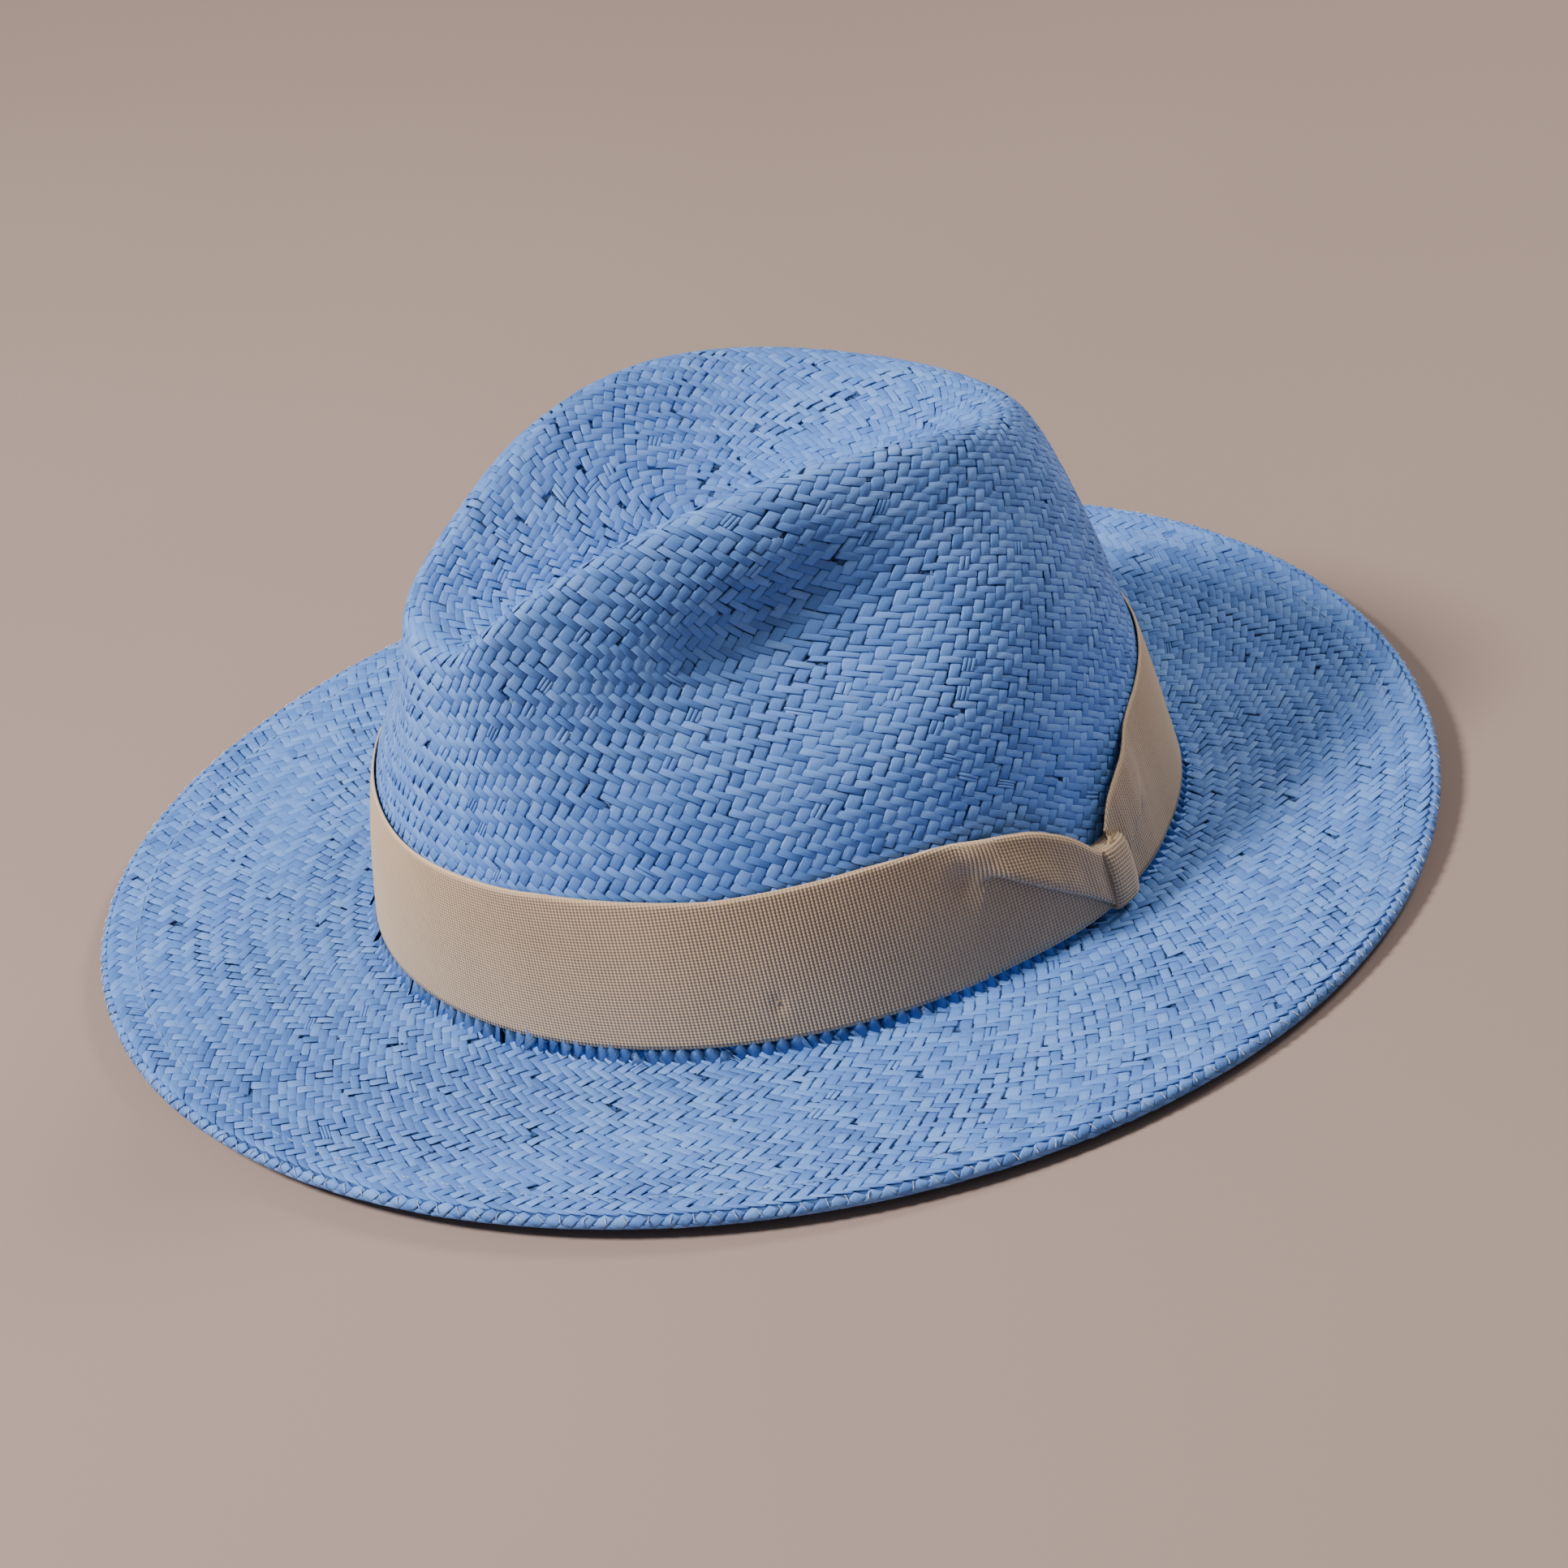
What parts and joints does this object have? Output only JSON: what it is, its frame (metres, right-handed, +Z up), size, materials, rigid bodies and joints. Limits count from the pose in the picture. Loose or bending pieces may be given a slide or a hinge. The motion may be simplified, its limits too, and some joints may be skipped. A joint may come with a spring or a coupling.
{
  "type": "panama hat",
  "caption": "Woven straw panama hat with a teardrop crown, front pinch, flat brim with a folded hem, and a grosgrain ribbon drawn into a side keeper.",
  "frame": {"origin": "centre of the bounding box at its bottom, on the surface the hat stands on", "axes": "+Y towards the back of the hat, +X towards the wearer's left where the ribbon's keeper is, +Z up out of the crown"},
  "size_m": [0.3098, 0.3282, 0.1107],
  "materials": {
    "straw": "satin woven toquilla straw, dyed blue",
    "ribbon": "matte ribbed grosgrain, taupe",
    "thread": "fine sewing thread",
    "wire": "plain drawn wire",
    "sweatband": "smooth tan leather",
    "reed": "natural plastic reed",
    "tape": "woven tape"
  },
  "bodies": {
    "root": {"straw_body": "straw", "brim_wire": "wire", "hem_needle_thread": "thread", "hem_bobbin_thread": "thread", "hat_band": "ribbon", "bow_keeper": "ribbon", "band_tack_1": "thread", "band_tack_2": "thread", "band_tack_3": "thread", "band_tack_4": "thread", "sweatband": "sweatband", "sweatband_reed": "reed", "sweatband_thread": "thread", "sweatband_join_tape": "tape"}
  },
  "joints": []
}
